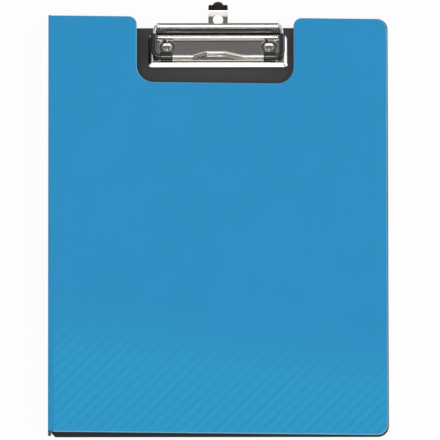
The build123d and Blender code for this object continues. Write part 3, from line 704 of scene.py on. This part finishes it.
# Matt white laminate: to the camera and in reflections it is nearly an even white, whatever the light.
EVEN_WHITE = 0.93
table, tree, place = new_material("matt_white_laminate")
paint = add(tree, "ShaderNodeBsdfDiffuse", {}, {"Color": linear("#f4f4f4")})
glow = add(tree, "ShaderNodeEmission", {}, {"Strength": 1.0})
ray = add(tree, "ShaderNodeLightPath", {}, {}).outputs
seen = add(tree, "ShaderNodeMath", {"operation": "MAXIMUM"}, {
    0: ray["Is Camera Ray"], 1: ray["Is Glossy Ray"]})
seen = add(tree, "ShaderNodeMath", {"operation": "MAXIMUM"}, {
    0: seen.outputs[0], 1: ray["Is Transmission Ray"]})
share = add(tree, "ShaderNodeMath", {"operation": "MULTIPLY"}, {0: seen.outputs[0], 1: EVEN_WHITE})
finish_material(tree, add(tree, "ShaderNodeMixShader", {}, {
    0: share.outputs[0], 1: paint.outputs[0], 2: glow.outputs[0]}))
floor.data.materials.append(table)

# A black card lies on the table beyond the folder's top edge, out of the picture. It shows only in
# reflections.
CARD = 0.5
CARD_Y = 0.42
bpy.ops.mesh.primitive_plane_add(size=CARD, location=(0, CARD_Y, 0))
card = bpy.context.object
card.name = "black_card"
bpy.ops.object.transform_apply(location=True, rotation=True, scale=True)
card.visible_camera = False
card.visible_diffuse = False
card.visible_shadow = False

# Matt black card: nearly black, with no shine.
matt_card, tree, place = new_material("matt_black_card")
finish_material(tree, add(tree, "ShaderNodeBsdfDiffuse", {}, {"Color": linear("#101010")}))
card.data.materials.append(matt_card)

# Soft light comes from a white tent, listed along a line from the near side, over the top, to the far
# side: degrees from overhead and brightness. It is bright low down and round the camera on the near
# side, with a dark gap between, and dim beyond overhead.
TENT = [
    (-180, 0.5), (-95, 0.5), (-90, 1.0), (-75, 1.0), (-71, 0.02), (-64, 0.02), (-58, 0.08),
    (-53, 0.12), (-49, 1.0), (-1, 1.0), (7, 0.095), (21, 0.09), (25, 0.12), (58, 0.12), (70, 0.05),
    (90, 0.05), (95, 0.5), (180, 0.5),
]
TENT_LEVEL = 1.75
SIDE_SOFT = 0.25
EDGE_SOFT = 0.02
STAND_SOFT = 0.04
TURN_SOFT = 0.09


def within(tree, value, low, high, soft):
    """Mask that is 1 between two limits and eases to 0 outside them."""
    rising = add(tree, "ShaderNodeMapRange", {"interpolation_type": "SMOOTHSTEP"}, {
        "Value": value, "From Min": low - soft, "From Max": low})
    falling = add(tree, "ShaderNodeMapRange", {"interpolation_type": "SMOOTHSTEP"}, {
        "Value": value, "From Min": high + soft, "From Max": high})
    return add(tree, "ShaderNodeMath", {"operation": "MULTIPLY"}, {
        0: rising.outputs["Result"], 1: falling.outputs["Result"]}).outputs[0]


world = bpy.data.worlds.new("tent")
bpy.context.scene.world = world
world.use_nodes = True
tree = world.node_tree
tree.nodes.clear()
heading = add(tree, "ShaderNodeTexCoord", {}, {}).outputs["Generated"]
parts = add(tree, "ShaderNodeSeparateXYZ", {}, {0: heading})
turn = add(tree, "ShaderNodeMath", {"operation": "ARCTAN2"}, {
    0: parts.outputs["Y"], 1: parts.outputs["Z"]})
share = add(tree, "ShaderNodeMapRange", {}, {
    "Value": turn.outputs[0], "From Min": -math.pi, "From Max": math.pi})
band = add(tree, "ShaderNodeValToRGB", {}, {"Fac": share.outputs["Result"]})
ramp = band.color_ramp
while len(ramp.elements) < len(TENT):
    ramp.elements.new(0.5)
for element, (angle, level) in zip(ramp.elements, TENT):
    element.position = (angle + 180) / 360
    element.color = (level, level, level, 1.0)
aside = add(tree, "ShaderNodeMath", {"operation": "ABSOLUTE"}, {0: parts.outputs["X"]})
tent = band.outputs["Color"]
# The tent's right side and its dimmer left side, two windows on the far side, the dark frame round
# overhead, a dark stand on the right, and a lamp in the middle. Each has its limits to the side, the
# softness of those limits, its brightness, and its limits along the line.
for value, low, high, soft, level, from_turn, to_turn in (
        (parts.outputs["X"], 0.75, 1.0, SIDE_SOFT, 1.0, -180, 180),
        (parts.outputs["X"], -1.0, -0.75, SIDE_SOFT, 0.35, -180, 180),
        (aside.outputs[0], 0.03, 0.45, EDGE_SOFT, 1.0, 21, 54),
        (aside.outputs[0], 0.03, 0.45, EDGE_SOFT, 0.10, -12, 10),
        (parts.outputs["X"], 0.13, 0.40, STAND_SOFT, 0.05, -60, -10),
        (aside.outputs[0], 0.0, 0.035, EDGE_SOFT, 6.0, -28, -18)):
    along_line = within(
        tree, turn.outputs[0], math.radians(from_turn), math.radians(to_turn), TURN_SOFT)
    mask = add(tree, "ShaderNodeMath", {"operation": "MULTIPLY"}, {
        0: within(tree, value, low, high, soft), 1: along_line})
    tent = add(tree, "ShaderNodeMixRGB", {}, {
        "Fac": mask.outputs[0], "Color1": tent, "Color2": (level, level, level, 1.0)}).outputs["Color"]
light = add(tree, "ShaderNodeBackground", {}, {"Color": tent, "Strength": TENT_LEVEL})
plain = add(tree, "ShaderNodeBackground", {}, {"Color": (1.0, 1.0, 1.0, 1.0), "Strength": 1.0})
seen = add(tree, "ShaderNodeLightPath", {}, {}).outputs["Is Camera Ray"]
both = add(tree, "ShaderNodeMixShader", {}, {0: seen, 1: light.outputs[0], 2: plain.outputs[0]})
add(tree, "ShaderNodeOutputWorld", {}, {"Surface": both.outputs[0]})

# The camera looks down on the folder from far off, 15 degrees from overhead toward the bottom edge.
TILT = math.radians(15)
TURN = math.radians(-0.067)
AWAY = 14.0
FIELD = 0.32213  # width of the picture at the folder
SENSOR = 36.0
camera_data = bpy.data.cameras.new("camera")
camera_data.sensor_width = SENSOR
camera_data.lens = SENSOR * AWAY / FIELD
camera = bpy.data.objects.new("camera", camera_data)
bpy.context.collection.objects.link(camera)
target = Vector((0.00127, 0.00058, 0.0))
turned = Matrix.Rotation(TILT, 4, "X") @ Matrix.Rotation(TURN, 4, "Z")
camera.matrix_world = Matrix.Translation(target) @ turned @ Matrix.Translation((0, 0, AWAY))
bpy.context.scene.camera = camera
bpy.context.scene.view_settings.view_transform = "Standard"
